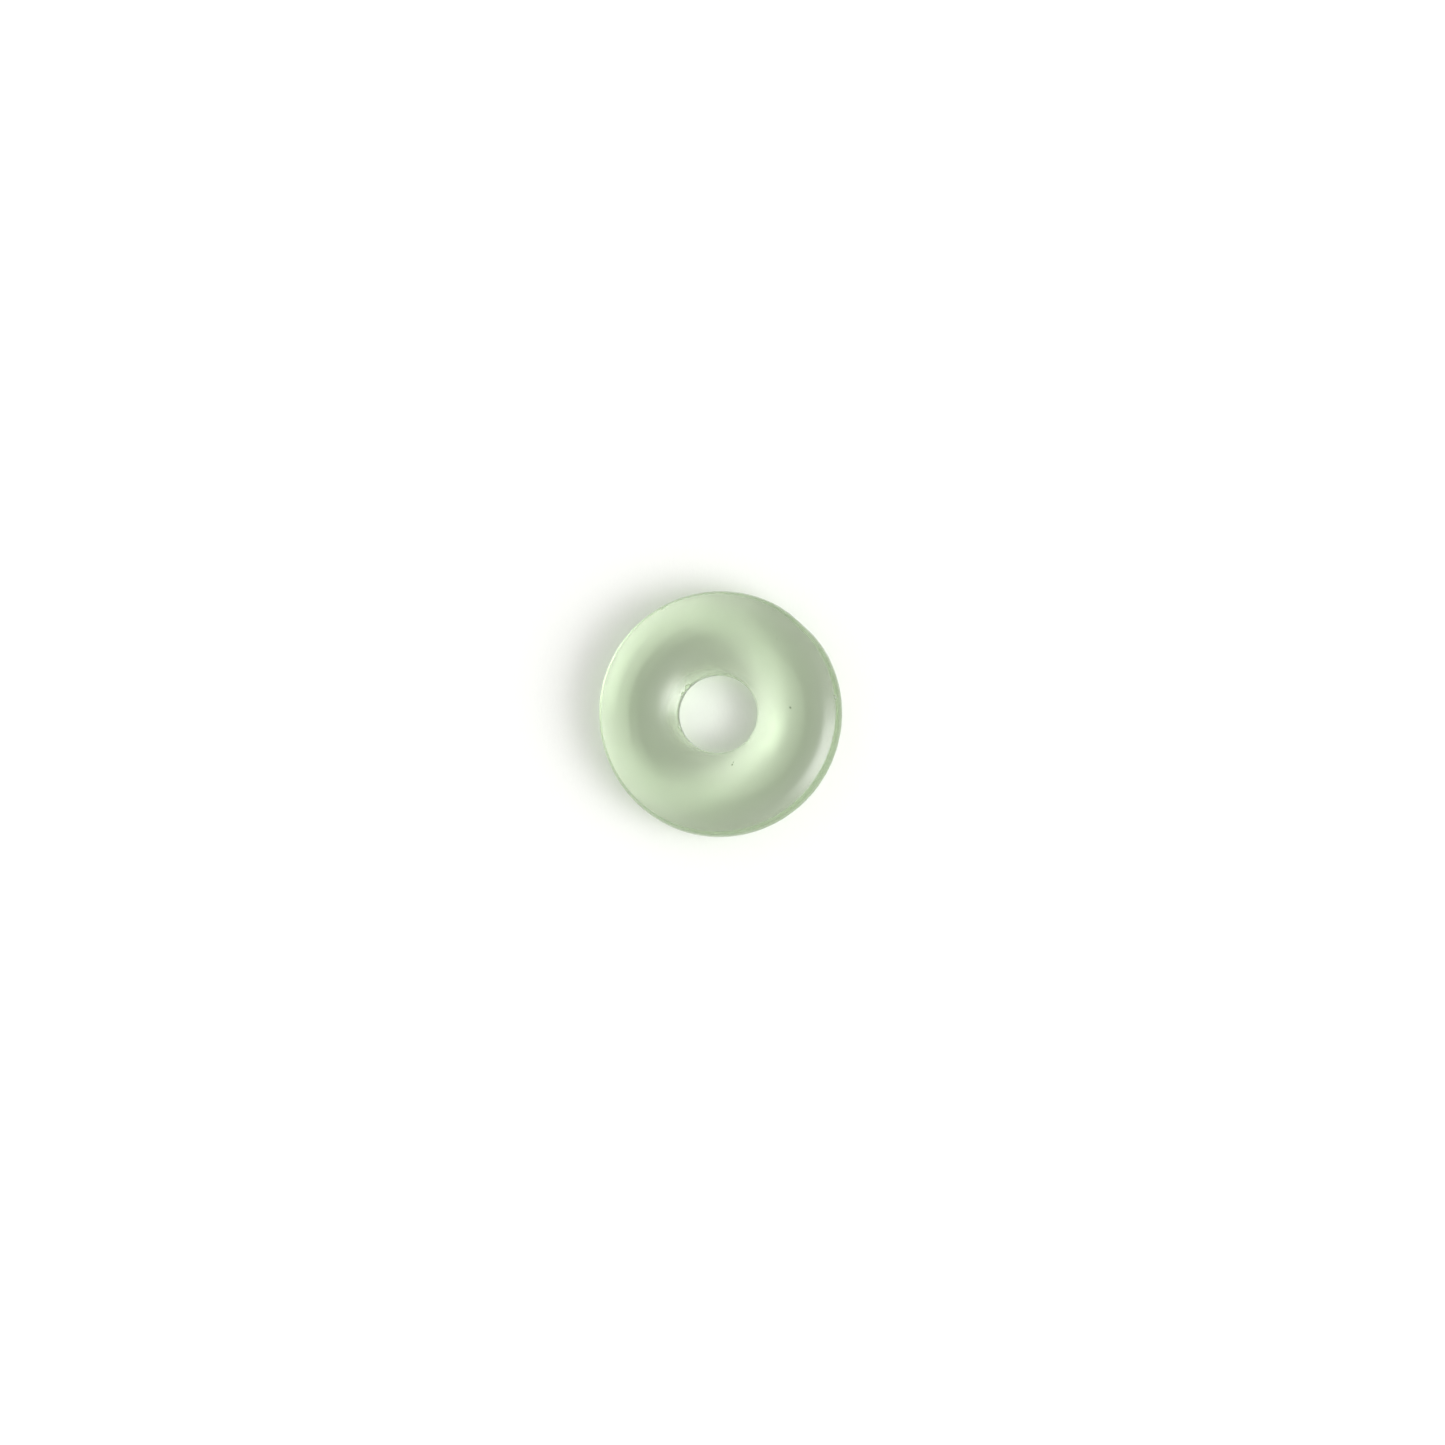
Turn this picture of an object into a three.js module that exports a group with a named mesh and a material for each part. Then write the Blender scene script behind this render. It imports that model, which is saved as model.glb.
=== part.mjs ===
// A ring pendant cut from translucent pale green jade: a flat, lens-sectioned ring
// with a drilled hole, crisp edges where its domed faces meet the side wall, and
// a few small chips in those edges.
//
// Millimetres, +Z up. The ring lies flat. Its origin is the middle of the spot it
// rests on, with the hole's axis along +Z.
import * as THREE from 'three'

// ---------- driving dimensions ----------
const OUTER_DIAMETER = 25.0
const HOLE_DIAMETER = 8.02 // at its waist, half way through
const HOLE_FLARE = 0.05 // how much farther out the hole's edges are than its waist
const TOP_RISE = 1.15 // top dome above the rim's upper edge
const TOP_RISE_AT_HOLE = 2.0 // top dome above the hole's upper edge
const RIM_HEIGHT = 2.88 // side wall, edge to edge
const BOTTOM_RISE = 0.9 // rim's lower edge above the lowest point
const BOTTOM_RISE_AT_HOLE = 1.65 // hole's lower edge above the lowest point
const TOP_POWER = 2.0 // curve of the top dome: 2 is a parabola, less is nearer to a cone
const BOTTOM_POWER = 1.5 // curve of the bottom dome
const CREST_SHARE = 0.65 // how far across the limb the crest is, from the hole's edge to the rim's
const RIM_BULGE = 0.43 // how far the side wall swells beyond its edges
const FLAT_DEPTH = 0.05 // ground off the lowest point, which leaves a flat annulus to rest on

// The outline and the hole are circles with slight hand-cut waves: [waves round the ring, height,
// angle of a crest]. One wave round the ring moves the circle off the middle, and two make it oval.
const OUTLINE_WAVES = [[2, 0.055, 115], [3, 0.02, 15]]
const HOLE_WAVES = [[1, 0.17, 204], [2, 0.06, -10]]
// One straighter stretch ground into the rim: its middle, depth and how softly it ends.
const STRAIGHT = { angle: 47, depth: 0.12, blend: 0.2 }

// Chips: where round the ring, which edge, how wide along the edge, how deep.
const CHIPS = [
  { edge: 'hole_top', angle: 140, width: 0.6, depth: 0.16 },
  { edge: 'hole_top', angle: 152, width: 0.4, depth: 0.1 },
  { edge: 'hole_top', angle: 200, width: 0.4, depth: 0.12 },
  { edge: 'hole_bottom', angle: 291, width: 0.6, depth: 0.2 },
  { edge: 'hole_top', angle: 317, width: 0.5, depth: 0.15 },
  { edge: 'rim_top', angle: 117.5, width: 0.5, depth: 0.16 },
  { edge: 'rim_top', angle: 6.5, width: 0.5, depth: 0.14 },
  { edge: 'rim_bottom', angle: 351.8, width: 0.5, depth: 0.14 },
]
const CHIP_SLANT = 0.7 // how far a chip cuts along the axis for each unit that it cuts into the wall

// ---------- fineness of the mesh ----------
const STATIONS = 96 // sections round the ring, before those added at chips
const DOME_STEPS = 12
const WALL_STEPS = 3
const CLOSEST_SECTIONS = 0.2 // in steps: a chip adds no section nearer than this to another

const radians = THREE.MathUtils.degToRad
const outerRadius = OUTER_DIAMETER / 2
const holeRadius = HOLE_DIAMETER / 2
const STRAIGHT_ENDS = radians(60) // well past where the straight stretch meets the rim
const height = BOTTOM_RISE + RIM_HEIGHT + TOP_RISE - FLAT_DEPTH

// Smallest difference between two angles, in radians.
function angleBetween(a, b) {
  return Math.abs(Math.atan2(Math.sin(a - b), Math.cos(a - b)))
}

// The smaller of two lengths, rounded over where they meet.
function softMin(a, b, blend) {
  return (a + b - Math.sqrt((a - b) ** 2 + blend ** 2)) / 2
}

// Sum of the waves in a circle at an angle.
function waviness(waves, angle) {
  let sum = 0
  for (const [count, size, crest] of waves) {
    sum += size * Math.cos(count * (angle - radians(crest)))
  }
  return sum
}

// Radius of the rim's widest line at an angle.
function outline(angle) {
  const radius = outerRadius + waviness(OUTLINE_WAVES, angle)
  const facing = Math.max(Math.cos(angle - radians(STRAIGHT.angle)), Math.cos(STRAIGHT_ENDS))
  return softMin(radius, (outerRadius - STRAIGHT.depth) / facing, STRAIGHT.blend)
}

// Radius of the hole's waist at an angle.
function waist(angle) {
  return holeRadius + waviness(HOLE_WAVES, angle)
}

// Height of a dome at a place across the limb: -1 at the hole's edge, 0 at the crest, 1 at the rim.
function domeHeight(across, riseAtRim, riseAtHole, power) {
  const rise = across > 0 ? riseAtRim : riseAtHole
  return -rise * Math.abs(across) ** power
}

// Places across the top dome from rim to hole, close together near the edges.
function topPlaces() {
  const places = []
  for (let i = 0; i <= DOME_STEPS; i += 1) {
    places.push(Math.cos(Math.PI * i / DOME_STEPS))
  }
  return places
}

// Places across the bottom dome from hole to rim, which leave out the flat annulus between.
function bottomPlaces() {
  const places = []
  for (const [side, rise] of [[-1, BOTTOM_RISE_AT_HOLE], [1, BOTTOM_RISE]]) {
    const flatEdge = (FLAT_DEPTH / rise) ** (1 / BOTTOM_POWER)
    const half = DOME_STEPS / 2
    for (let i = 0; i < half; i += 1) {
      const t = side < 0 ? 1 - i / (half - 1) : i / (half - 1)
      places.push(side * THREE.MathUtils.lerp(flatEdge, 1, Math.sin(t * Math.PI / 2)))
    }
  }
  return places
}

// A wall from one edge to the other that swells by a bulge in the middle, without its end points.
function wallPoints(from, to, bulge) {
  const points = []
  for (let i = 1; i < WALL_STEPS; i += 1) {
    const t = i / WALL_STEPS
    const swell = bulge * (1 - (2 * t - 1) ** 2) / (1 - (2 / WALL_STEPS - 1) ** 2)
    points.push({
      r: THREE.MathUtils.lerp(from.r, to.r, t) + swell,
      z: THREE.MathUtils.lerp(from.z, to.z, t),
    })
  }
  return points
}

// How much of a chip is felt at an angle, from 0 to 1.
function chipShare(chip, angle, radius) {
  const away = angleBetween(angle, radians(chip.angle)) * radius
  return Math.max(0, 1 - (2 * away / chip.width) ** 2)
}

// Moves an edge point into the stone where a chip took it away.
function chipped(point, edge, angle) {
  const outwards = edge.startsWith('rim') ? 1 : -1
  const upwards = edge.endsWith('top') ? 1 : -1
  const { r, z } = point
  let depth = 0
  for (const chip of CHIPS.filter((entry) => entry.edge === edge)) {
    depth = Math.max(depth, chip.depth * chipShare(chip, angle, r))
  }
  return { r: r - outwards * depth, z: z - upwards * depth * CHIP_SLANT }
}

// One closed section through the limb, counter-clockwise with r to the right and z up.
function section(angle) {
  const rimEdge = outline(angle) - RIM_BULGE
  const holeEdge = waist(angle) + HOLE_FLARE
  const crest = THREE.MathUtils.lerp(holeEdge, rimEdge, CREST_SHARE)
  const limbRadius = (across) => crest + across * (across > 0 ? rimEdge - crest : crest - holeEdge)
  const top = topPlaces().map((across) => ({
    r: limbRadius(across),
    z: height + domeHeight(across, TOP_RISE, TOP_RISE_AT_HOLE, TOP_POWER),
  }))
  const bottom = bottomPlaces().map((across) => ({
    r: limbRadius(across),
    z: -FLAT_DEPTH - domeHeight(across, BOTTOM_RISE, BOTTOM_RISE_AT_HOLE, BOTTOM_POWER),
  }))
  top[0] = chipped(top[0], 'rim_top', angle)
  top[DOME_STEPS] = chipped(top[DOME_STEPS], 'hole_top', angle)
  bottom[0] = chipped(bottom[0], 'hole_bottom', angle)
  bottom[bottom.length - 1] = chipped(bottom[bottom.length - 1], 'rim_bottom', angle)
  const holeWall = wallPoints(top[DOME_STEPS], bottom[0], -HOLE_FLARE)
  const rimWall = wallPoints(bottom[bottom.length - 1], top[0], RIM_BULGE)
  return [...top, ...holeWall, ...bottom, ...rimWall]
}

// Angles of the sections: even steps, with three more at each chip.
function stationAngles() {
  const step = 2 * Math.PI / STATIONS
  const angles = []
  for (let i = 0; i < STATIONS; i += 1) {
    angles.push(i * step)
  }
  for (const chip of CHIPS) {
    const radius = chip.edge.startsWith('rim') ? outerRadius : holeRadius
    const half = chip.width / 2 / radius
    for (const side of [-1, 0, 1]) {
      const extra = radians(chip.angle) + side * half
      const nearest = angles.findIndex((angle) => angleBetween(angle, extra) < step * CLOSEST_SECTIONS)
      if (nearest < 0) {
        angles.push(THREE.MathUtils.euclideanModulo(extra, 2 * Math.PI))
      }
    }
  }
  return angles.sort((a, b) => a - b)
}

// The ring: sections round the axis, joined into one closed skin with its faces outwards.
function ringGeometry() {
  const angles = stationAngles()
  const sections = angles.map(section)
  const size = sections[0].length
  const positions = []
  const indices = []
  sections.forEach((points, i) => {
    for (const { r, z } of points) {
      positions.push(r * Math.cos(angles[i]), r * Math.sin(angles[i]), z)
    }
    const here = i * size
    const next = ((i + 1) % sections.length) * size
    for (let j = 0; j < size; j += 1) {
      const k = (j + 1) % size
      indices.push(here + j, next + j, next + k)
      indices.push(here + j, next + k, here + k)
    }
  })
  const geometry = new THREE.BufferGeometry()
  geometry.setAttribute('position', new THREE.Float32BufferAttribute(positions, 3))
  geometry.setIndex(indices)
  geometry.computeBoundingBox()
  const middle = geometry.boundingBox.getCenter(new THREE.Vector3())
  geometry.translate(-middle.x, -middle.y, -geometry.boundingBox.min.z)
  geometry.computeVertexNormals()
  return geometry
}

const jade = new THREE.MeshStandardMaterial({ color: 0xc4dbb6, roughness: 0.17, metalness: 0 })

const ring = new THREE.Mesh(ringGeometry(), jade)
ring.name = 'ring'

const pendant = new THREE.Group()
pendant.add(ring)

export default pendant
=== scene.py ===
"""A ring pendant of polished pale green jade, lying on paper in soft window light.

The frame's one node, "ring", is dressed as one piece: a ring of lens-shaped section with a
drilled hole, worn and nicked edges, a few pits, and clear green stone under its polish.
"""
import math
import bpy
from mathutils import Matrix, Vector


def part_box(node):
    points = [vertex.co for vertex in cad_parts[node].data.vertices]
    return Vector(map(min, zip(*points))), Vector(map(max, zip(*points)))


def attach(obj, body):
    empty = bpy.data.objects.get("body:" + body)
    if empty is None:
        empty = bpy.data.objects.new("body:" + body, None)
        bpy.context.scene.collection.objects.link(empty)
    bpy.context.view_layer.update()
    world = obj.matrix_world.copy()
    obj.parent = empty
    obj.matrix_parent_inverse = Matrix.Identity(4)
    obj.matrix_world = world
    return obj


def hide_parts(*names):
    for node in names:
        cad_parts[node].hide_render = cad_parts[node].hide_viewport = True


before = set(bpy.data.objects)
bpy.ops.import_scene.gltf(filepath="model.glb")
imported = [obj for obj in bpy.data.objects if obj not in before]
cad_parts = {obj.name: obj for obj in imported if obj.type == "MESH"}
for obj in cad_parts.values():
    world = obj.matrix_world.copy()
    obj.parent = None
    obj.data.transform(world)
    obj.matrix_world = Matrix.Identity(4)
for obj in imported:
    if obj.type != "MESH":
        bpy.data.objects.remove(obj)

from types import SimpleNamespace

import bmesh
import bpy
from mathutils import Matrix, Vector, noise

bl_info = {
    "name": "Jade Ring Pendant",
    "version": (1, 0, 0),
    "blender": (4, 5, 0),
    "location": "3D View > Sidebar > Pendant",
    "description": "Makes a polished jade ring pendant with its paper, light and camera",
    "category": "Add Mesh",
}

MM = 0.001
FULL_TURN = 2 * math.pi

NODE = "ring"
BODY = "root"
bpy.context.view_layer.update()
LOW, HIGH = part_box(NODE)
POLISHED_OFF = 0.004 * MM  # how far the finished rim stays inside the frame's box

# Chips: the edge, the angle round the ring in degrees, the width along the edge and the depth.
CHIPS = (
    ("hole_top", 140.0, 0.6 * MM, 0.16 * MM),
    ("hole_top", 152.0, 0.4 * MM, 0.1 * MM),
    ("hole_top", 200.0, 0.4 * MM, 0.12 * MM),
    ("hole_bottom", 291.0, 0.6 * MM, 0.2 * MM),
    ("hole_top", 317.0, 0.5 * MM, 0.15 * MM),
    ("rim_top", 117.5, 0.5 * MM, 0.16 * MM),
    ("rim_top", 6.5, 0.5 * MM, 0.14 * MM),
    ("rim_bottom", 351.8, 0.5 * MM, 0.14 * MM),
)

# Pits in the top dome, with dirt in them: place, length and width, and the angle of their length.
PITS = (
    (7.50 * MM, 0.29 * MM, 0.30 * MM, 0.15 * MM, -42.0),
    (1.49 * MM, -5.32 * MM, 0.21 * MM, 0.19 * MM, 0.0),
    (1.59 * MM, -5.07 * MM, 0.20 * MM, 0.08 * MM, 75.0),
    (6.18 * MM, 7.24 * MM, 0.13 * MM, 0.12 * MM, 0.0),
    (4.62 * MM, 4.14 * MM, 0.10 * MM, 0.08 * MM, 20.0),
    (-4.82 * MM, -1.96 * MM, 0.12 * MM, 0.08 * MM, 60.0),
    (0.08 * MM, -10.15 * MM, 0.10 * MM, 0.08 * MM, 0.0),
    (-2.59 * MM, -10.28 * MM, 0.09 * MM, 0.09 * MM, 0.0),
)

# Tiny nicks along each edge: how many, and the radius of the largest.
NICKS = {
    "hole_top": (14, 0.05 * MM),
    "hole_bottom": (18, 0.06 * MM),
    "rim_top": (16, 0.05 * MM),
    "rim_bottom": (26, 0.07 * MM),
}


# ---------- sums that work on numbers and on node sockets ----------

class Wire:
    """An output socket of a node, which Python's arithmetic can be done on."""

    def __init__(self, maker, socket):
        self.maker = maker
        self.socket = socket

    def __add__(self, other):
        return self.maker.math("ADD", self, other)

    __radd__ = __add__

    def __sub__(self, other):
        return self.maker.math("SUBTRACT", self, other)

    def __rsub__(self, other):
        return self.maker.math("SUBTRACT", other, self)

    def __mul__(self, other):
        return self.maker.math("MULTIPLY", self, other)

    __rmul__ = __mul__

    def __truediv__(self, other):
        return self.maker.math("DIVIDE", self, other)

    def __rtruediv__(self, other):
        return self.maker.math("DIVIDE", other, self)


class Maker:
    """Adds nodes to one tree and joins them."""

    def __init__(self, tree):
        self.tree = tree

    def add(self, kind, settings=None, stops=None, sockets=None, out=0):
        """Adds a node: its settings and stops first, then its sockets' values and links."""
        node = self.tree.nodes.new(kind)
        for name, value in (settings or {}).items():
            setattr(node, name, value)
        if stops:
            elements = node.color_ramp.elements
            while len(elements) < len(stops):
                elements.new(1.0)
            for element, (position, colour) in zip(elements, stops):
                element.position = position
                element.color = colour
        for name, value in (sockets or {}).items():
            self.feed(node.inputs[name], value)
        if out is None:
            return node
        return Wire(self, node.outputs[out])

    def feed(self, socket, value):
        """Links a wire to a socket, or sets the socket's own value."""
        if isinstance(value, Wire):
            self.tree.links.new(value.socket, socket)
        else:
            socket.default_value = value

    def math(self, operation, *values):
        """A Math node on one or two values."""
        return self.add("ShaderNodeMath", {"operation": operation}, sockets=dict(enumerate(values)))

    def vector(self, operation, a, b=(0, 0, 0), out=0):
        """A Vector Math node on two vectors."""
        return self.add("ShaderNodeVectorMath", {"operation": operation}, sockets={0: a, 1: b}, out=out)

    def combine(self, x, y, z):
        """A vector from its three parts."""
        return self.add("ShaderNodeCombineXYZ", sockets={0: x, 1: y, 2: z})

    def noise(self, place, size, detail=2.0, seed=0.0):
        """Noise from 0 to 1 whose lumps are about that size."""
        settings = {"noise_dimensions": "4D"}
        sockets = {"Vector": place, "W": seed, "Scale": 1 / size, "Detail": detail}
        return self.add("ShaderNodeTexNoise", settings, sockets=sockets)

    def step(self, value, start, end):
        """Goes smoothly from 0 to 1 as the value goes from start to end."""
        settings = {"interpolation_type": "SMOOTHSTEP"}
        sockets = {"Value": value, "From Min": start, "From Max": end}
        return self.add("ShaderNodeMapRange", settings, sockets=sockets)

    def mix(self, share, a, b):
        """Colour a, going over to colour b as the share goes to 1."""
        sockets = {"Factor": share, 6: a, 7: b}
        return self.add("ShaderNodeMix", {"data_type": "RGBA"}, sockets=sockets, out=2)

    def cos(self, angle):
        return self.math("COSINE", angle)

    def sin(self, angle):
        return self.math("SINE", angle)

    def root(self, value):
        return self.math("SQRT", value)

    def size(self, value):
        return self.math("ABSOLUTE", value)

    def power(self, value, exponent):
        return self.math("POWER", value, exponent)

    def larger(self, a, b):
        return self.math("MAXIMUM", a, b)

    def above(self, value, limit):
        return self.math("GREATER_THAN", value, limit)


class Numbers:
    """The same sums as Maker's, on plain numbers."""

    cos = staticmethod(math.cos)
    sin = staticmethod(math.sin)
    root = staticmethod(math.sqrt)
    size = staticmethod(abs)
    power = staticmethod(pow)
    larger = staticmethod(max)

    @staticmethod
    def above(value, limit):
        return float(value > limit)


# ---------- settings ----------

def a_length(name, description, default):
    return bpy.props.FloatProperty(
        name=name, description=description, default=default, min=0.0, precision=5, unit="LENGTH")


def an_angle(name, description, degrees):
    return bpy.props.FloatProperty(
        name=name, description=description, default=math.radians(degrees), unit="ROTATION")


def a_share(name, description, default):
    return bpy.props.FloatProperty(
        name=name, description=description, default=default, min=0.0, max=1.0, subtype="FACTOR")


def a_power(name, description, default):
    return bpy.props.FloatProperty(
        name=name, description=description, default=default, min=1.0, max=6.0)


def a_colour(name, description, default):
    return bpy.props.FloatVectorProperty(
        name=name, description=description, default=default, size=3, min=0.0, max=1.0, subtype="COLOR")


class PENDANT_PG_ring(bpy.types.PropertyGroup):
    """Sizes of the ring."""

    outer_radius: a_length(
        "Outer Radius", "Middle of the ring to its rim",
        (HIGH.x - LOW.x + HIGH.y - LOW.y) / 4 - POLISHED_OFF)
    thickness: a_length("Thickness", "Height of the ring's crest", HIGH.z - LOW.z)
    hole_radius: a_length("Hole Radius", "Radius of the hole at its waist", 4.01 * MM)
    hole_shift: a_length("Hole Shift", "How far the hole is off the middle", 0.17 * MM)
    hole_oval: a_length("Hole Oval", "Height of the hole's two-crested wave", 0.06 * MM)
    hole_flare: a_length("Hole Flare", "How much wider the hole is at its edges", 0.05 * MM)
    rim_bulge: a_length("Rim Bulge", "How far the side wall swells beyond its edges", 0.43 * MM)
    top_rise: a_length("Top Rise", "Crest of the top dome above the rim's edge", 1.15 * MM)
    top_rise_at_hole: a_length("Top Rise at Hole", "Crest above the hole's edge", 2.0 * MM)
    bottom_rise: a_length("Bottom Rise", "Rim's lower edge above the bottom dome's low line", 0.9 * MM)
    bottom_rise_at_hole: a_length("Bottom Rise at Hole", "Hole's lower edge above the low line", 1.65 * MM)
    top_power: a_power("Top Power", "Curve of the top: 2 is a parabola, less is nearer a cone", 2.0)
    bottom_power: a_power("Bottom Power", "Curve of the bottom, as Top Power", 1.5)
    crest_share: a_share("Crest Share", "How far across the limb the crest is, from the hole", 0.65)
    flat_depth: a_length("Flat Depth", "Ground off the lowest line, to rest on", 0.05 * MM)
    oval: a_length("Oval", "Height of the outline's two-crested wave", 0.055 * MM)
    three_wave: a_length("Three-Crested Wave", "Height of the outline's three-crested wave", 0.02 * MM)
    straight_depth: a_length("Straight Depth", "Depth of the straight stretch in the rim", 0.12 * MM)
    ripple: a_length("Ripple", "Height of the hand polish's slow waves", 0.03 * MM)
    edge_round: a_length("Edge Rounding", "Width that the edges are worn round over", 0.05 * MM)
    stations: bpy.props.IntProperty(
        name="Stations", description="Sections round the ring", default=384, min=24)
    dome_steps: bpy.props.IntProperty(
        name="Dome Steps", description="Steps across each dome", default=64, min=4)
    wall_steps: bpy.props.IntProperty(
        name="Wall Steps", description="Steps up each wall", default=14, min=2)
    seed: bpy.props.IntProperty(name="Seed", description="Which nicks and waves it has", default=7)


class PENDANT_PG_stone(bpy.types.PropertyGroup):
    """Look of the stone."""

    tint: a_colour("Tint", "Colour that the skin gives to light passing through", (0.908, 0.903, 0.9))
    cloud_tint: a_colour("Cloud Tint", "The same where the stone is cloudy", (0.888, 0.897, 0.875))
    depth_colour: a_colour("Depth Colour", "Colour of light after 4 mm of stone", (0.809, 0.874, 0.768))
    refraction: bpy.props.FloatProperty(
        name="Refraction", description="Refractive index", default=1.57, min=1.0, max=2.5)
    roughness: a_share("Roughness", "Of the domes' waxed, faintly satin skin", 0.165)
    side_roughness: a_share("Side Roughness", "Of the rim's side wall", 0.05)
    drilled_roughness: a_share("Drilled Roughness", "Of the hole's wall", 0.14)
    chip_roughness: a_share("Chip Roughness", "Of a broken face", 0.42)
    # The side wall's greener, brighter tint is painted light: it stands in for the green light that comes
    # out of the rim after a long path through the stone.
    side_painted_light_tint: a_colour("Side Tint", "Tint of the rim's side wall", (0.86, 1.0, 0.76))
    chip_tint: a_colour("Chip Tint", "Tint of a broken face", (0.9, 0.92, 0.88))
    dirt_tint: a_colour("Dirt Tint", "Tint of the dirt in the pits", (0.2, 0.24, 0.17))


class PENDANT_PG_stage(bpy.types.PropertyGroup):
    """Paper, light and camera."""

    paper_colour: a_colour("Paper Colour", "Colour of the paper", (0.9, 0.9, 0.9))
    window_azimuth: an_angle("Window Azimuth", "Direction of the window's light from +X", -20.0)
    window_elevation: an_angle("Window Elevation", "Height of the window's middle", 31.5)
    window_width: an_angle("Window Width", "Width of the window as the ring sees it", 37.0)
    window_height: an_angle("Window Height", "Height of the window as the ring sees it", 26.0)
    window_edge: a_share("Window Edge", "How softly the window ends, as a share of its half width", 0.73)
    window_strength: bpy.props.FloatProperty(
        name="Window Strength", description="Brightness of the window", default=7.6, min=0.0)
    glow_width: an_angle("Glow Width", "Width of the wide glow round the window", 134.0)
    glow_strength: bpy.props.FloatProperty(
        name="Glow Strength", description="Brightness of the wide glow", default=1.1, min=0.0)
    sky_low: a_colour("Low Sky", "Colour of the room's light from the sides", (0.9, 0.9, 0.85))
    sky_high: a_colour("High Sky", "Colour of the room's light from above", (0.6, 0.6, 0.57))
    camera_distance: a_length("Camera Distance", "Camera to ring", 0.3)
    camera_tilt: an_angle("Camera Tilt", "How far the view is off straight down", 10.0)
    camera_azimuth: an_angle("Camera Azimuth", "The side that the view leans to", -30.0)
    frame_width: a_length("Frame Width", "Width of the picture at the ring", 146.7 * MM)
    frame_right: bpy.props.FloatProperty(
        name="Frame Right", description="Ring's middle right of the picture's",
        default=-0.251 * MM, precision=5, unit="LENGTH")
    frame_up: bpy.props.FloatProperty(
        name="Frame Up", description="Ring's middle above the picture's",
        default=0.890 * MM, precision=5, unit="LENGTH")


# ---------- the ring's shape ----------

OVAL_CREST = math.radians(115)
THREE_WAVE_CREST = math.radians(15)
HOLE_SHIFTED_TO = math.radians(204)
HOLE_OVAL_CREST = math.radians(-10)
STRAIGHT_AT = math.radians(47)
STRAIGHT_BLEND = 0.2 * MM
STRAIGHT_REACH = 0.5  # cosine of an angle well past the ends of the straight stretch
WALL_POWER = 1.75  # curve of the walls' swelling


def soft_min(sums, a, b, blend):
    """The smaller of two lengths, rounded over where they meet."""
    return (a + b - sums.root((a - b) * (a - b) + blend * blend)) / 2


def outline_radius(sums, ring, angle):
    """Radius of the rim's widest line at an angle."""
    radius = ring.outer_radius
    radius = radius + ring.oval * sums.cos((angle - OVAL_CREST) * 2)
    radius = radius + ring.three_wave * sums.cos((angle - THREE_WAVE_CREST) * 3)
    facing = sums.larger(sums.cos(angle - STRAIGHT_AT), STRAIGHT_REACH)
    chord = (ring.outer_radius - ring.straight_depth) / facing
    return soft_min(sums, radius, chord, STRAIGHT_BLEND)


def waist_radius(sums, ring, angle):
    """Radius of the hole's narrowest line at an angle."""
    radius = ring.hole_radius + ring.hole_shift * sums.cos(angle - HOLE_SHIFTED_TO)
    return radius + ring.hole_oval * sums.cos((angle - HOLE_OVAL_CREST) * 2)


def rim_edge_radius(sums, ring, angle):
    return outline_radius(sums, ring, angle) - ring.rim_bulge


def hole_edge_radius(sums, ring, angle):
    return waist_radius(sums, ring, angle) + ring.hole_flare


def dome_radius(sums, ring, angle, across):
    """Radius at a place across the limb: -1 at the hole's edge, 0 at the crest, 1 at the rim's."""
    rim = rim_edge_radius(sums, ring, angle)
    hole = hole_edge_radius(sums, ring, angle)
    outer = sums.above(across, 0.0)
    reach = ring.crest_share + (1 - ring.crest_share * 2) * outer
    return hole + (rim - hole) * (ring.crest_share + across * reach)


def across_at(ring, radius, angle):
    """The place across the limb of a radius: dome_radius the other way round."""
    rim = rim_edge_radius(Numbers, ring, angle)
    hole = hole_edge_radius(Numbers, ring, angle)
    share = (radius - hole) / (rim - hole) - ring.crest_share
    return share / (1 - ring.crest_share if share > 0 else ring.crest_share)


def dome_drop(sums, across, rim_rise, hole_rise, power):
    """How far a dome has fallen from its crest at a place across the limb."""
    outer = sums.above(across, 0.0)
    rise = hole_rise + (rim_rise - hole_rise) * outer
    return rise * sums.power(sums.size(across), power)


def wall_swell(sums, along):
    """Share of a wall's swelling, 1 half way up and 0 at its edges."""
    return 1 - sums.power(sums.size(along * 2 - 1), WALL_POWER)


def top_height(sums, ring, across):
    drop = dome_drop(sums, across, ring.top_rise, ring.top_rise_at_hole, ring.top_power)
    return ring.thickness - drop


def bottom_height(sums, ring, across):
    rise = dome_drop(sums, across, ring.bottom_rise, ring.bottom_rise_at_hole, ring.bottom_power)
    return sums.larger(rise - ring.flat_depth, 0.0)


EDGES = {
    "hole_top": (-1, 1),
    "hole_bottom": (-1, -1),
    "rim_top": (1, 1),
    "rim_bottom": (1, -1),
}


def edge_place(sums, ring, edge, angle):
    """Radius and height of an edge at an angle."""
    side, way = EDGES[edge]
    height = top_height if way > 0 else bottom_height
    return dome_radius(sums, ring, angle, side), height(sums, ring, side)


SLOW_WAVE = 4.0 * MM  # lengths of the hand polish's waves
QUICK_WAVE = 1.3 * MM
QUICK_SHARE = 0.12  # height of the quick waves, as a share of the slow ones
WAVES_END = 6.0  # power with which the waves die out towards the edges
TOP_WAVES = 0.5  # added to the seed, so that each dome has its own waves
BOTTOM_WAVES = 9.5
WELD = 0.002 * MM  # points of the strips that are this close are joined

RING_INPUTS = (
    "outer_radius", "thickness", "hole_radius", "hole_shift", "hole_oval", "hole_flare", "rim_bulge",
    "top_rise", "top_rise_at_hole", "bottom_rise", "bottom_rise_at_hole", "top_power", "bottom_power",
    "crest_share", "flat_depth", "oval", "three_wave", "straight_depth", "ripple",
)
COUNT_INPUTS = ("stations", "dome_steps", "wall_steps", "seed")


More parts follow.
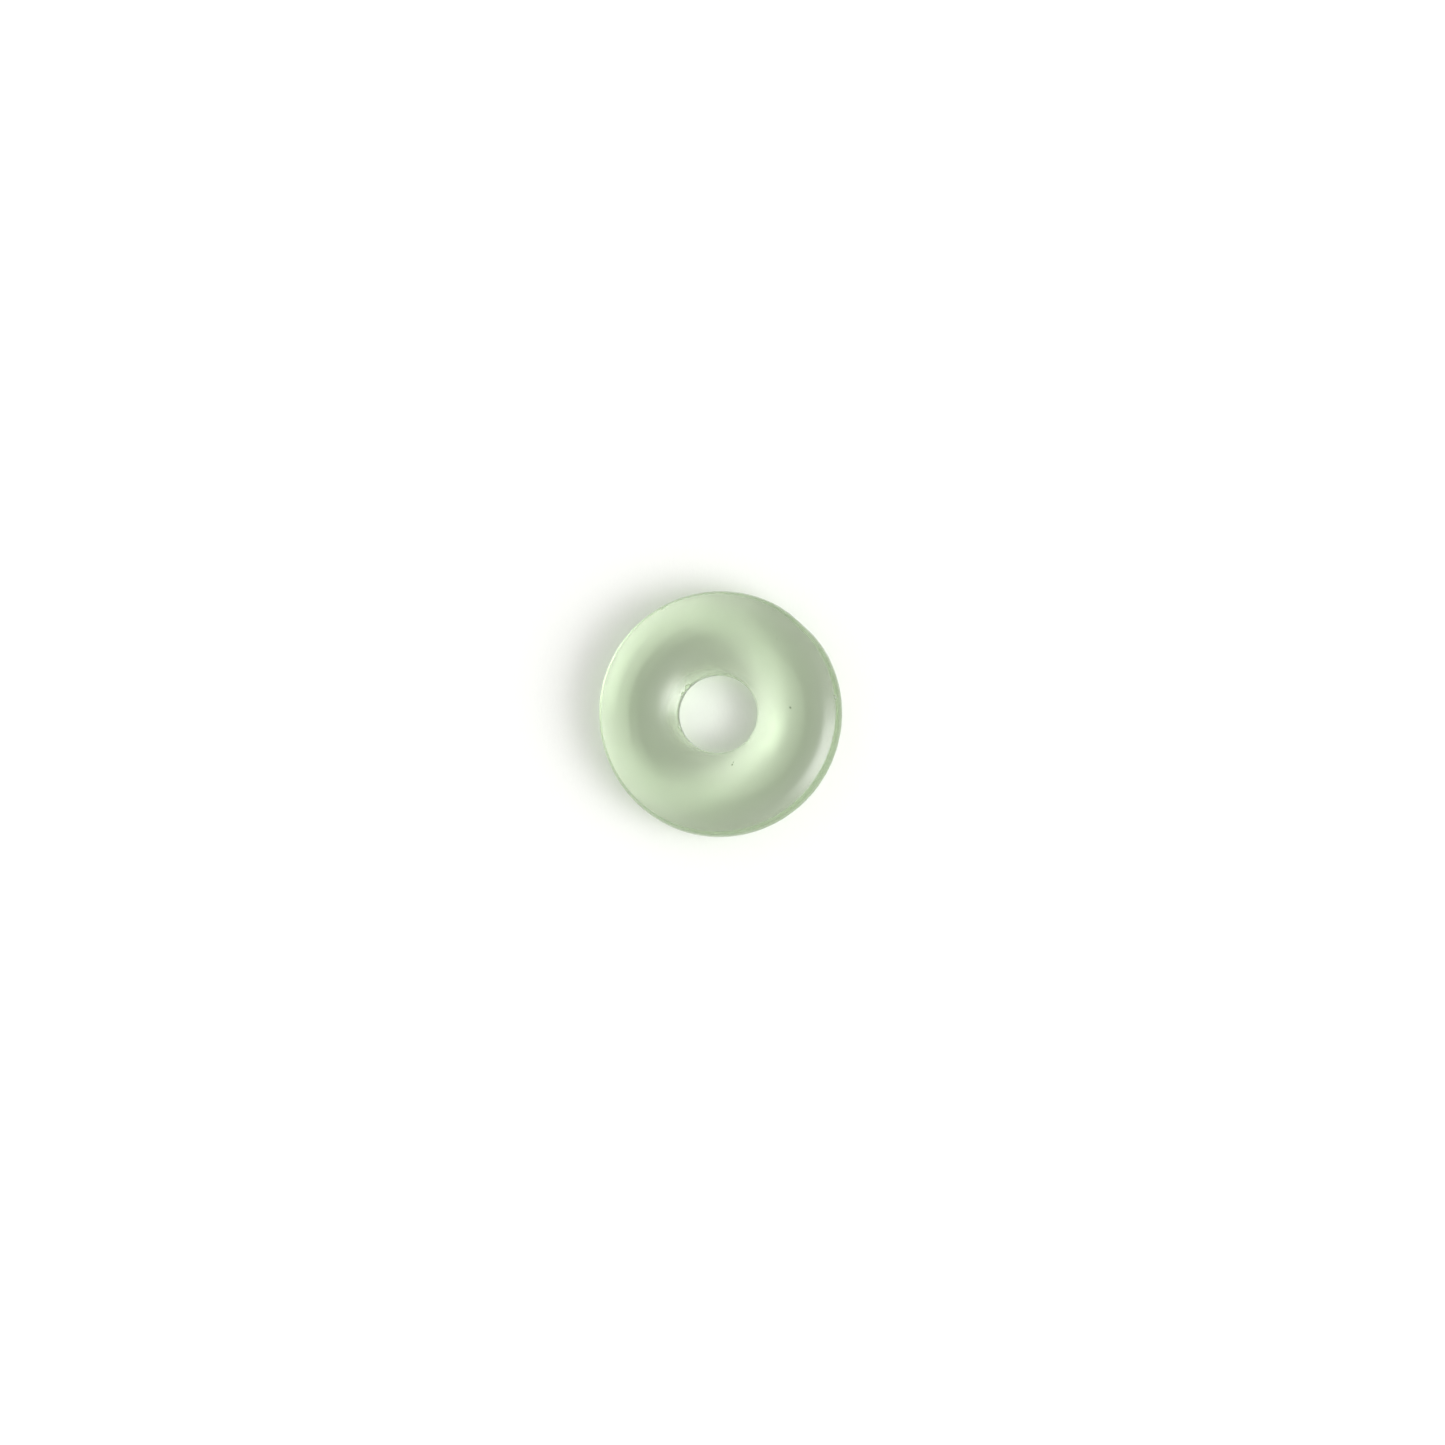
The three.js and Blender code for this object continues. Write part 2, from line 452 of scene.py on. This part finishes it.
def tree_inputs(tree, names, kind):
    """Named input sockets of a geometry tree, by property name."""
    return {
        name: tree.interface.new_socket(name.replace("_", " ").title(), in_out="INPUT", socket_type=kind)
        for name in names
    }


def new_geometry_tree(name, lengths, counts):
    """A geometry tree with its inputs: the tree, its maker, the input wires and their identifiers."""
    tree = bpy.data.node_groups.new(name, "GeometryNodeTree")
    tree.interface.new_socket("Geometry", in_out="OUTPUT", socket_type="NodeSocketGeometry")
    items = tree_inputs(tree, lengths, "NodeSocketFloat")
    items.update(tree_inputs(tree, counts, "NodeSocketInt"))
    items["material"] = tree.interface.new_socket(
        "Material", in_out="INPUT", socket_type="NodeSocketMaterial")
    maker = Maker(tree)
    group = tree.nodes.new("NodeGroupInput")
    wires = {name: Wire(maker, group.outputs[item.name]) for name, item in items.items()}
    identifiers = {name: item.identifier for name, item in items.items()}
    return tree, maker, SimpleNamespace(**wires), identifiers


def end_geometry_tree(maker, geometry, material):
    """Closes a geometry tree: real geometry, its material, and the output."""
    real = maker.add("GeometryNodeRealizeInstances", sockets={"Geometry": geometry})
    named = maker.add("GeometryNodeSetMaterial", sockets={"Geometry": real, "Material": material})
    maker.add("NodeGroupOutput", sockets={"Geometry": named}, out=None)


def ring_tree():
    """The geometry tree of the ring: two domes and two walls, each a grid bent into place."""
    tree, maker, ring, identifiers = new_geometry_tree("Ring", RING_INPUTS, COUNT_INPUTS)
    position = maker.add("GeometryNodeInputPosition")
    parts = maker.add("ShaderNodeSeparateXYZ", sockets={0: position}, out=None)
    along = Wire(maker, parts.outputs["X"]) + 0.5
    across = along * 2 - 1
    angle = (Wire(maker, parts.outputs["Y"]) + 0.5) * FULL_TURN
    cosine = maker.cos(angle)
    sine = maker.sin(angle)

    def strip(steps, radius, height):
        sockets = {"Size X": 1.0, "Size Y": 1.0, "Vertices X": steps + 1, "Vertices Y": ring.stations + 1}
        grid = maker.add("GeometryNodeMeshGrid", sockets=sockets)
        place = maker.combine(radius * cosine, radius * sine, height)
        return maker.add("GeometryNodeSetPosition", sockets={"Geometry": grid, "Position": place})

    radius = dome_radius(maker, ring, angle, across)
    flat_place = maker.combine(radius * cosine, radius * sine, 0.0)
    inner = 1 - maker.power(across, WAVES_END)

    def waves(extra_seed):
        slow = maker.noise(flat_place, SLOW_WAVE, detail=1.0, seed=ring.seed + extra_seed)
        quick = maker.noise(flat_place, QUICK_WAVE, detail=0.0, seed=ring.seed + extra_seed)
        return (slow + quick * QUICK_SHARE) * inner * ring.ripple

    def wall(side, swell):
        edges = [edge for edge, (where, _) in EDGES.items() if where == side]
        upper, lower = (edge_place(maker, ring, edge, angle) for edge in edges)
        height = lower[1] + (upper[1] - lower[1]) * along
        return strip(ring.wall_steps, upper[0] + swell * wall_swell(maker, along) * side, height)

    bottom = bottom_height(maker, ring, across)
    strips = [
        strip(ring.dome_steps, radius, top_height(maker, ring, across) - waves(TOP_WAVES)),
        strip(ring.dome_steps, radius, bottom + waves(BOTTOM_WAVES) * maker.above(bottom, 0.0)),
        wall(1, ring.rim_bulge),
        wall(-1, ring.hole_flare),
    ]
    joined = tree.nodes.new("GeometryNodeJoinGeometry")
    for piece in reversed(strips):
        tree.links.new(piece.socket, joined.inputs[0])
    whole = maker.add(
        "GeometryNodeMergeByDistance",
        sockets={"Geometry": Wire(maker, joined.outputs[0]), "Distance": WELD})
    end_geometry_tree(maker, whole, ring.material)
    return tree, identifiers


NICK_PLACES = (0.2, 0.8)  # where a nick lies in its own stretch of the edge
NICK_FINENESS = 2  # subdivisions of a nick's ball
NICK_SMALLEST = 0.02 * MM
NICK_RARITY = 1.6  # power that makes large nicks rare
NICK_MIDDLES = (0.35, 0.75)  # how far a nick's middle is off the edge, in its own radius
NICK_WIDTHS = (0.7, 1.2)  # stretch of a ball across and upwards, before it is turned
NICK_HEIGHTS = (0.7, 1.1)


def nick_tree():
    """The geometry tree of the nick cutters: small rough balls strewn along one edge."""
    lengths = RING_INPUTS + ("side", "way", "largest")
    tree, maker, ring, identifiers = new_geometry_tree("Nicks", lengths, ("count", "seed"))
    index = maker.add("GeometryNodeInputIndex")

    def chance(low, high, number):
        sockets = {"Min": low, "Max": high, "ID": index, "Seed": ring.seed * 10 + number}
        return maker.add("FunctionNodeRandomValue", {"data_type": "FLOAT"}, sockets=sockets, out=1)

    angle = (index + chance(*NICK_PLACES, 1)) / ring.count * FULL_TURN
    radius = dome_radius(maker, ring, angle, ring.side)
    upper = top_height(maker, ring, ring.side)
    lower = bottom_height(maker, ring, ring.side)
    height = lower + (upper - lower) * maker.above(ring.way, 0.0)
    size = ring.largest * maker.power(chance(0.0, 1.0, 2), NICK_RARITY) + NICK_SMALLEST
    out = size * chance(*NICK_MIDDLES, 3)
    radius = radius + out * ring.side
    place = maker.combine(radius * maker.cos(angle), radius * maker.sin(angle), height + out * ring.way)
    points = maker.add("GeometryNodePoints", sockets={"Count": ring.count, "Position": place})
    ball = maker.add("GeometryNodeMeshIcoSphere", sockets={"Radius": 1.0, "Subdivisions": NICK_FINENESS})
    turn = maker.combine(*(chance(0.0, FULL_TURN, number) for number in (4, 5, 6)))
    rotation = maker.add("FunctionNodeEulerToRotation", sockets={0: turn})
    stretch = maker.combine(size, size * chance(*NICK_WIDTHS, 7), size * chance(*NICK_HEIGHTS, 8))
    sockets = {"Points": points, "Instance": ball, "Rotation": rotation, "Scale": stretch}
    balls = maker.add("GeometryNodeInstanceOnPoints", sockets=sockets)
    end_geometry_tree(maker, balls, ring.material)
    return tree, identifiers


def from_tree(name, tree, values):
    """A new object with a plain mesh made by a geometry tree. Values go by socket identifier."""
    piece = bpy.data.objects.new(name, bpy.data.meshes.new(name + "_seed"))
    bpy.context.scene.collection.objects.link(piece)
    modifier = piece.modifiers.new("Shape", "NODES")
    modifier.node_group = tree
    for identifier, value in values.items():
        modifier[identifier] = value
    graph = bpy.context.evaluated_depsgraph_get()
    mesh = bpy.data.meshes.new_from_object(piece.evaluated_get(graph), depsgraph=graph)
    piece.modifiers.remove(modifier)
    piece.data = mesh
    mesh.name = name
    return piece


def tree_values(identifiers, **values):
    return {identifiers[name]: value for name, value in values.items()}


def face_outwards(mesh):
    """Turns a closed mesh's faces outwards."""
    editable = bmesh.new()
    editable.from_mesh(mesh)
    bmesh.ops.recalc_face_normals(editable, faces=editable.faces)
    editable.to_mesh(mesh)
    editable.free()


def apply_modifier(piece, kind, **settings):
    """Adds a modifier, sets it, and puts its result into the object's own mesh."""
    modifier = piece.modifiers.new(kind.title(), kind)
    for name, value in settings.items():
        setattr(modifier, name, value)
    graph = bpy.context.evaluated_depsgraph_get()
    mesh = bpy.data.meshes.new_from_object(piece.evaluated_get(graph), depsgraph=graph)
    piece.modifiers.remove(modifier)
    piece.data = mesh


# ---------- wear ----------

STONE, BROKEN, DIRTY = range(3)
FACE_KINDS = ("chipped", "dirty", "drilled", "side")
WALL_STARTS = 0.004 * MM  # a face this far past a dome's edge belongs to a wall
SLIVER = 0.0002 * MM  # faces thinner than this are closed up
CUTTER_FINENESS = 5  # subdivisions of a chip's or a pit's ball
LUMPS = ((3.0, 0.05), (9.0, 0.015))  # on a cutter: how many across its radius, and how high
LUMP_STRIDE = (7.1, 3.3, 5.7)  # moves each cutter's lumps to a place of their own
SHELL_RINGS = 26.0  # faint ripples, like those in a shell-shaped break
SHELL_HEIGHT = 0.006
CHIP_STRETCH = 1.1  # a chip's ball is this much longer along the edge
PIT_DEPTH = 0.09 * MM
PIT_LUMPS = 20  # added to a pit's number, past the chips'
EDGE_SEGMENTS = 3
WORN_EDGE = math.radians(30)  # sharper edges than this are worn round
SHADED_SHARP = math.radians(32)


def cut(piece, cutter):
    """Takes a cutter out of a piece and deletes the cutter."""
    apply_modifier(piece, "BOOLEAN", operation="DIFFERENCE", solver="MANIFOLD", object=cutter)
    bpy.data.objects.remove(cutter)


def rough_ball(name, marks, finish, radii, turn, place, seed):
    """A cutter: a ball with small lumps and faint shell-like rings."""
    editable = bmesh.new()
    bmesh.ops.create_icosphere(editable, subdivisions=CUTTER_FINENESS, radius=1.0)
    offset = Vector(seed * part for part in LUMP_STRIDE)
    for vertex in editable.verts:
        way = vertex.co.normalized()
        lump = sum(noise.noise(way * count + offset) * height for count, height in LUMPS)
        shell = math.sin(way.x * SHELL_RINGS) * SHELL_HEIGHT
        vertex.co = way * (1 + lump + shell)
        vertex.co = turn @ Vector(part * size for part, size in zip(vertex.co, radii)) + place
    mesh = bpy.data.meshes.new(name)
    editable.to_mesh(mesh)
    editable.free()
    for material in marks:
        mesh.materials.append(material)
    for polygon in mesh.polygons:
        polygon.material_index = finish
    cutter = bpy.data.objects.new(name, mesh)
    bpy.context.scene.collection.objects.link(cutter)
    return cutter


def chip_cutter(ring, marks, number, edge, degrees, width, depth):
    """A cutter that takes a shell-shaped chip of that width and depth out of an edge."""
    side, way = EDGES[edge]
    angle = math.radians(degrees)
    radius, height = edge_place(Numbers, ring, edge, angle)
    out = Vector((side * math.cos(angle), side * math.sin(angle), way)).normalized()
    ball = (width * width / 4 + depth * depth) / (2 * depth)
    edge_point = Vector((radius * math.cos(angle), radius * math.sin(angle), height))
    centre = edge_point + out * (ball - depth)
    turn = Matrix.Rotation(angle, 3, "Z")
    radii = (ball, ball * CHIP_STRETCH, ball)
    return rough_ball(f"chip_{number}", marks, BROKEN, radii, turn, centre, number)


def pit_cutter(ring, marks, number, x, y, along, wide, degrees):
    """A cutter that sinks a shallow pit into the top dome."""
    angle = math.atan2(y, x)
    height = top_height(Numbers, ring, across_at(ring, math.hypot(x, y), angle))
    turn = Matrix.Rotation(math.radians(degrees), 3, "Z")
    radii = (along / 2, wide / 2, PIT_DEPTH)
    place = Vector((x, y, height))
    return rough_ball(f"pit_{number}", marks, DIRTY, radii, turn, place, number + PIT_LUMPS)


def nick_edges(piece, ring, marks):
    """Cuts the tiny nicks along all four edges."""
    tree, identifiers = nick_tree()
    shape = {name: getattr(ring, name) for name in RING_INPUTS}
    for number, (edge, (count, largest)) in enumerate(NICKS.items()):
        side, way = EDGES[edge]
        values = tree_values(
            identifiers, **shape, side=float(side), way=float(way), largest=largest,
            count=count, seed=ring.seed + number, material=marks[BROKEN])
        cutter = from_tree("nicks_" + edge, tree, values)
        face_outwards(cutter.data)
        cutter.data.materials.clear()
        for material in marks:
            cutter.data.materials.append(material)
        for polygon in cutter.data.polygons:
            polygon.material_index = BROKEN
        cut(piece, cutter)


def drop_slivers(mesh):
    """Closes up the needle-thin faces that cutting leaves."""
    editable = bmesh.new()
    editable.from_mesh(mesh)
    bmesh.ops.remove_doubles(editable, verts=editable.verts, dist=SLIVER)
    bmesh.ops.dissolve_degenerate(editable, edges=editable.edges, dist=SLIVER)
    open_edges = sum(not edge.is_manifold for edge in editable.edges)
    editable.to_mesh(mesh)
    editable.free()
    if open_edges:
        raise RuntimeError(f"{open_edges} edges of {mesh.name} are not closed")


def face_kind(polygon, ring):
    """Which sort of surface a face belongs to, of those that FACE_KINDS lists, or None on a dome."""
    if polygon.material_index == BROKEN:
        return "chipped"
    if polygon.material_index == DIRTY:
        return "dirty"
    angle = math.atan2(polygon.center.y, polygon.center.x)
    radius = math.hypot(polygon.center.x, polygon.center.y)
    if radius < hole_edge_radius(Numbers, ring, angle) - WALL_STARTS:
        return "drilled"
    if radius > rim_edge_radius(Numbers, ring, angle) + WALL_STARTS:
        return "side"
    return None


def mark_faces(mesh, ring):
    """Writes what each face is to attributes, and leaves one material on the mesh."""
    values = {name: [0.0] * len(mesh.polygons) for name in FACE_KINDS}
    for polygon in mesh.polygons:
        kind = face_kind(polygon, ring)
        if kind:
            values[kind][polygon.index] = 1.0
        polygon.material_index = STONE
    for name, numbers in values.items():
        attribute = mesh.attributes.new(name, "FLOAT", "FACE")
        attribute.data.foreach_set("value", numbers)


def settle_in_frame(mesh):
    """Moves the mesh so that its box has the same middle and floor as the frame's."""
    places = [vertex.co.copy() for vertex in mesh.vertices]
    low = Vector(min(place[axis] for place in places) for axis in range(3))
    high = Vector(max(place[axis] for place in places) for axis in range(3))
    shift = (LOW + HIGH - low - high) / 2
    shift.z = LOW.z - low.z
    mesh.transform(Matrix.Translation(shift))


class PENDANT_OT_ring(bpy.types.Operator):
    """Makes the jade ring and puts it in the frame"""

    bl_idname = "pendant.ring"
    bl_label = "Jade Ring"

    def execute(self, context):
        ring = context.scene.pendant_ring
        stone = jade(context.scene.pendant_stone)
        marks = [stone, bpy.data.materials.new("broken_mark"), bpy.data.materials.new("dirt_mark")]
        tree, identifiers = ring_tree()
        shape = {name: getattr(ring, name) for name in RING_INPUTS + COUNT_INPUTS}
        piece = from_tree("jade_ring", tree, tree_values(identifiers, **shape, material=stone))
        face_outwards(piece.data)
        apply_modifier(
            piece, "BEVEL", width=ring.edge_round, segments=EDGE_SEGMENTS, limit_method="ANGLE",
            angle_limit=WORN_EDGE, offset_type="WIDTH", use_clamp_overlap=True)
        piece.data.materials.clear()
        for material in marks:
            piece.data.materials.append(material)
        for number, chip in enumerate(CHIPS):
            cut(piece, chip_cutter(ring, marks, number, *chip))
        for number, pit in enumerate(PITS):
            cut(piece, pit_cutter(ring, marks, number, *pit))
        nick_edges(piece, ring, marks)
        mesh = piece.data
        drop_slivers(mesh)
        mark_faces(mesh, ring)
        mesh.materials.clear()
        mesh.materials.append(stone)
        settle_in_frame(mesh)
        mesh.shade_smooth()
        mesh.set_sharp_from_angle(angle=SHADED_SHARP)
        mesh.name = "jade_ring"
        if not mesh.polygons:
            raise RuntimeError("the ring came out empty")
        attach(piece, BODY)
        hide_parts(NODE)
        return {"FINISHED"}


# ---------- materials ----------

CLOUD_SIZE = 3.5 * MM
CLOUDS = (0.35, 0.75)  # noise at which a cloud starts and is full
HAIRLINE_ANGLES = (18.0, 77.0, 131.0)
HAIRLINE_WIDTH = 0.09 * MM
HAIRLINE_STRETCH = (1.0, 0.02, 1.0)  # draws lumps of noise out into lines
HAIRLINES = (0.74, 0.8)  # noise at which a hairline starts and is full
HAIRLINE_ROUGHNESS = 0.05
HAIRLINE_DEPTH = 0.1
SMUDGE_SIZE = 2.2 * MM
SMUDGES = (0.9, 0.2)  # least share of the roughness, and how much smudges add
GRAIN_SIZE = 0.12 * MM
GRAIN_DEPTHS = (0.05, 0.5, 3.0)  # on polished, drilled and broken stone
SWELL_SIZE = 0.9 * MM
BUMP_DEPTH = 0.002 * MM
SEEDS = SimpleNamespace(clouds=2.0, grain=3.0, hairlines=4.0, swell=6.0, smudges=8.0)
DEPTH_SAMPLE = 4 * MM  # the depth that the stone's depth colour is for
DENSITY = 250.0  # the absorption's colour is worked out to go with it

FIBRE_SIZE = 0.25 * MM
FIBRE_STRETCH = (1.0, 0.35, 1.0)
FIBRE_DEPTH = 0.01 * MM
DULL_SHARE = 0.97  # brightness of the paper's duller fibres
PAPER_ROUGHNESS = 0.9
PAPER_SHEEN = 0.2


def new_material(name):
    """A node material: itself, its maker, its shader and its output node."""
    material = bpy.data.materials.new(name)
    material.use_nodes = True
    nodes = material.node_tree.nodes
    maker = Maker(material.node_tree)
    return material, maker, nodes["Principled BSDF"], nodes["Material Output"]


def opaque(rgb):
    return (*rgb, 1.0)


def jade(look):
    """Clear green stone with a polished skin, finer and coarser in places."""
    material, maker, skin, end = new_material("jade")
    place = maker.add("ShaderNodeTexCoord", out="Object")
    chipped, dirty, drilled, side = (
        maker.add("ShaderNodeAttribute", {"attribute_name": kind}, out="Fac") for kind in FACE_KINDS)

    clouds = maker.step(maker.noise(place, CLOUD_SIZE, detail=3.0, seed=SEEDS.clouds), *CLOUDS)
    tint = maker.mix(clouds, opaque(look.tint), opaque(look.cloud_tint))
    # Painted light on the rim's side wall: a greener, brighter tint standing in for light that has crossed
    # a long path through the stone.
    tint = maker.mix(side, tint, opaque(look.side_painted_light_tint))
    tint = maker.mix(chipped, tint, opaque(look.chip_tint))
    tint = maker.mix(dirty, tint, opaque(look.dirt_tint))
    maker.feed(skin.inputs["Base Color"], tint)

    hairlines = None
    for number, degrees in enumerate(HAIRLINE_ANGLES):
        turned = maker.add(
            "ShaderNodeVectorRotate", {"rotation_type": "Z_AXIS"},
            sockets={"Vector": place, "Angle": math.radians(degrees)})
        drawn = maker.vector("MULTIPLY", turned, HAIRLINE_STRETCH)
        line = maker.noise(drawn, HAIRLINE_WIDTH, detail=0.0, seed=number + SEEDS.hairlines)
        line = maker.step(line, *HAIRLINES)
        hairlines = line if hairlines is None else maker.larger(hairlines, line)
    least, added = SMUDGES
    smudges = least + maker.noise(place, SMUDGE_SIZE, detail=2.0, seed=SEEDS.smudges) * added
    hairlines = hairlines * (1 - drilled) * (1 - side)
    roughness = look.roughness * smudges + hairlines * HAIRLINE_ROUGHNESS
    for kind, finish in (
        (chipped, look.chip_roughness), (drilled, look.drilled_roughness), (side, look.side_roughness),
    ):
        roughness = roughness + kind * (finish - look.roughness)
    maker.feed(skin.inputs["Roughness"], roughness)

    grain = maker.noise(place, GRAIN_SIZE, detail=3.0, seed=SEEDS.grain)
    swell = maker.noise(place, SWELL_SIZE, detail=1.0, seed=SEEDS.swell)
    polished_grain, drilled_grain, broken_grain = GRAIN_DEPTHS
    coarseness = drilled * drilled_grain + chipped * broken_grain + polished_grain
    height = swell - hairlines * HAIRLINE_DEPTH + grain * coarseness
    bump = maker.add(
        "ShaderNodeBump", sockets={"Strength": 1.0, "Distance": BUMP_DEPTH, "Height": height})
    maker.feed(skin.inputs["Normal"], bump)

    skin.inputs["Transmission Weight"].default_value = 1.0
    skin.inputs["IOR"].default_value = look.refraction

    # Absorption leaves exp(-density * (1 - colour) * path) of the light.
    loss = [-math.log(part) / (DENSITY * DEPTH_SAMPLE) for part in look.depth_colour]
    depth = maker.add(
        "ShaderNodeVolumeAbsorption",
        sockets={"Color": opaque([1 - part for part in loss]), "Density": DENSITY})
    maker.feed(end.inputs["Volume"], depth)
    return material


def paper(look):
    """Matt white paper with a faint fibre grain."""
    material, maker, skin, _ = new_material("paper")
    place = maker.add("ShaderNodeTexCoord", out="Object")
    fibres = maker.noise(maker.vector("MULTIPLY", place, FIBRE_STRETCH), FIBRE_SIZE, detail=4.0)
    dull = [part * DULL_SHARE for part in look.paper_colour]
    maker.feed(
        skin.inputs["Base Color"],
        maker.mix(fibres, opaque(look.paper_colour), opaque(dull)))
    bump = maker.add("ShaderNodeBump", sockets={"Strength": 1.0, "Distance": FIBRE_DEPTH, "Height": fibres})
    maker.feed(skin.inputs["Normal"], bump)
    skin.inputs["Roughness"].default_value = PAPER_ROUGHNESS
    skin.inputs["Specular IOR Level"].default_value = PAPER_SHEEN
    return material


# ---------- paper, light and camera ----------

SKY_TOP = 0.85  # sine of the height above which the sky stays the same
CORNER_POWER = 4.0  # shape of the window: 2 is an ellipse, more is nearer a rectangle
PAPER_HALF = 1.0
PAPER_DROP = 0.02 * MM  # keeps the paper clear of the ring
SENSOR_WIDTH = 36.0
CLOSEST_SEEN = 0.005
FARTHEST_SEEN = 10.0
BOUNCES = 24


def direction(azimuth, elevation):
    """A unit vector from the angle round from +X and the angle above the floor."""
    flat = math.cos(elevation)
    return Vector((flat * math.cos(azimuth), flat * math.sin(azimuth), math.sin(elevation)))


def room_light(look):
    """A world that is brighter towards the sides than overhead, with one soft-edged window in it."""
    world = bpy.data.worlds.new("room")
    world.use_nodes = True
    maker = Maker(world.node_tree)
    way = maker.add("ShaderNodeTexCoord", out="Generated")
    parts = maker.add("ShaderNodeSeparateXYZ", sockets={0: way}, out=None)
    stops = ((0.0, opaque(look.sky_low)), (SKY_TOP, opaque(look.sky_high)))
    sky = maker.add("ShaderNodeValToRGB", stops=stops, sockets={0: Wire(maker, parts.outputs["Z"])})

    middle = direction(look.window_azimuth, look.window_elevation)
    side = direction(look.window_azimuth + math.pi / 2, 0.0)
    facing = maker.vector("DOT_PRODUCT", way, middle, out=1)
    across = maker.vector("DOT_PRODUCT", way, side, out=1) / math.sin(look.window_width / 2)
    rise = maker.vector("DOT_PRODUCT", way, middle.cross(side), out=1) / math.sin(look.window_height / 2)
    corners = maker.power(maker.size(across), CORNER_POWER) + maker.power(maker.size(rise), CORNER_POWER)
    reach = maker.power(corners, 1 / CORNER_POWER)
    window = 1 - maker.step(reach, 1 - look.window_edge, 1 + look.window_edge)
    glow = maker.step(facing, math.cos(look.glow_width / 2), 1.0)
    light = window * maker.above(facing, 0.0) * look.window_strength + glow * look.glow_strength

    ground = world.node_tree.nodes["Background"]
    maker.feed(ground.inputs["Color"], sky)
    panes = maker.add("ShaderNodeBackground", sockets={"Strength": light})
    both = maker.add("ShaderNodeAddShader", sockets={0: Wire(maker, ground.outputs[0]), 1: panes})
    maker.feed(world.node_tree.nodes["World Output"].inputs["Surface"], both)
    bpy.context.scene.world = world


def paper_sheet(look):
    """The floor: a wide sheet of paper just under the ring."""
    quarters = ((-1, -1), (1, -1), (1, 1), (-1, 1))
    corners = [(x * PAPER_HALF, y * PAPER_HALF, -PAPER_DROP) for x, y in quarters]
    mesh = bpy.data.meshes.new("paper")
    mesh.from_pydata(corners, [], [(0, 1, 2, 3)])
    mesh.materials.append(paper(look))
    sheet = bpy.data.objects.new("paper", mesh)
    bpy.context.scene.collection.objects.link(sheet)


def place_camera(look, target):
    """A camera over the ring, leaning a little to one side, with +Y up in the picture."""
    camera = bpy.data.cameras.new("camera")
    camera.sensor_width = SENSOR_WIDTH
    camera.lens = SENSOR_WIDTH * look.camera_distance / look.frame_width
    camera.clip_start = CLOSEST_SEEN
    camera.clip_end = FARTHEST_SEEN
    back = direction(look.camera_azimuth, math.pi / 2 - look.camera_tilt)
    right = Vector((0, 1, 0)).cross(back).normalized()
    up = back.cross(right)
    seat = bpy.data.objects.new("camera", camera)
    seat.location = target + back * look.camera_distance - right * look.frame_right - up * look.frame_up
    seat.rotation_euler = Matrix((right, up, back)).transposed().to_euler()
    bpy.context.scene.collection.objects.link(seat)
    bpy.context.scene.camera = seat


class PENDANT_OT_stage(bpy.types.Operator):
    """Makes the paper, the light and the camera"""

    bl_idname = "pendant.stage"
    bl_label = "Paper, Light and Camera"

    def execute(self, context):
        scene = context.scene
        look = scene.pendant_stage
        ring = scene.pendant_ring
        paper_sheet(look)
        room_light(look)
        girdle = (edge_place(Numbers, ring, "rim_top", 0.0)[1]
                  + edge_place(Numbers, ring, "rim_bottom", 0.0)[1]) / 2
        place_camera(look, Vector((0, 0, girdle)))
        scene.view_settings.view_transform = "Standard"
        scene.cycles.blur_glossy = 0.0
        scene.cycles.max_bounces = BOUNCES
        scene.cycles.transmission_bounces = BOUNCES
        return {"FINISHED"}


class PENDANT_PT_panel(bpy.types.Panel):
    """Lists the pendant's sizes and the buttons that make it"""

    bl_idname = "PENDANT_PT_panel"
    bl_label = "Ring Pendant"
    bl_space_type = "VIEW_3D"
    bl_region_type = "UI"
    bl_category = "Pendant"

    def draw(self, context):
        scene = context.scene
        for operator, groups in (
            (PENDANT_OT_ring, (scene.pendant_ring, scene.pendant_stone)),
            (PENDANT_OT_stage, (scene.pendant_stage,)),
        ):
            self.layout.operator(operator.bl_idname)
            box = self.layout.box()
            for group in groups:
                for name in group.__annotations__:
                    box.prop(group, name)


CLASSES = (
    PENDANT_PG_ring,
    PENDANT_PG_stone,
    PENDANT_PG_stage,
    PENDANT_OT_ring,
    PENDANT_OT_stage,
    PENDANT_PT_panel,
)
SETTINGS = {
    "pendant_ring": PENDANT_PG_ring,
    "pendant_stone": PENDANT_PG_stone,
    "pendant_stage": PENDANT_PG_stage,
}


def register():
    for item in CLASSES:
        bpy.utils.register_class(item)
    for name, group in SETTINGS.items():
        setattr(bpy.types.Scene, name, bpy.props.PointerProperty(type=group))


def unregister():
    for name in SETTINGS:
        delattr(bpy.types.Scene, name)
    for item in reversed(CLASSES):
        bpy.utils.unregister_class(item)


def main():
    """Makes everything."""
    register()
    bpy.ops.pendant.ring()
    bpy.ops.pendant.stage()


if __name__ == "__main__":
    main()
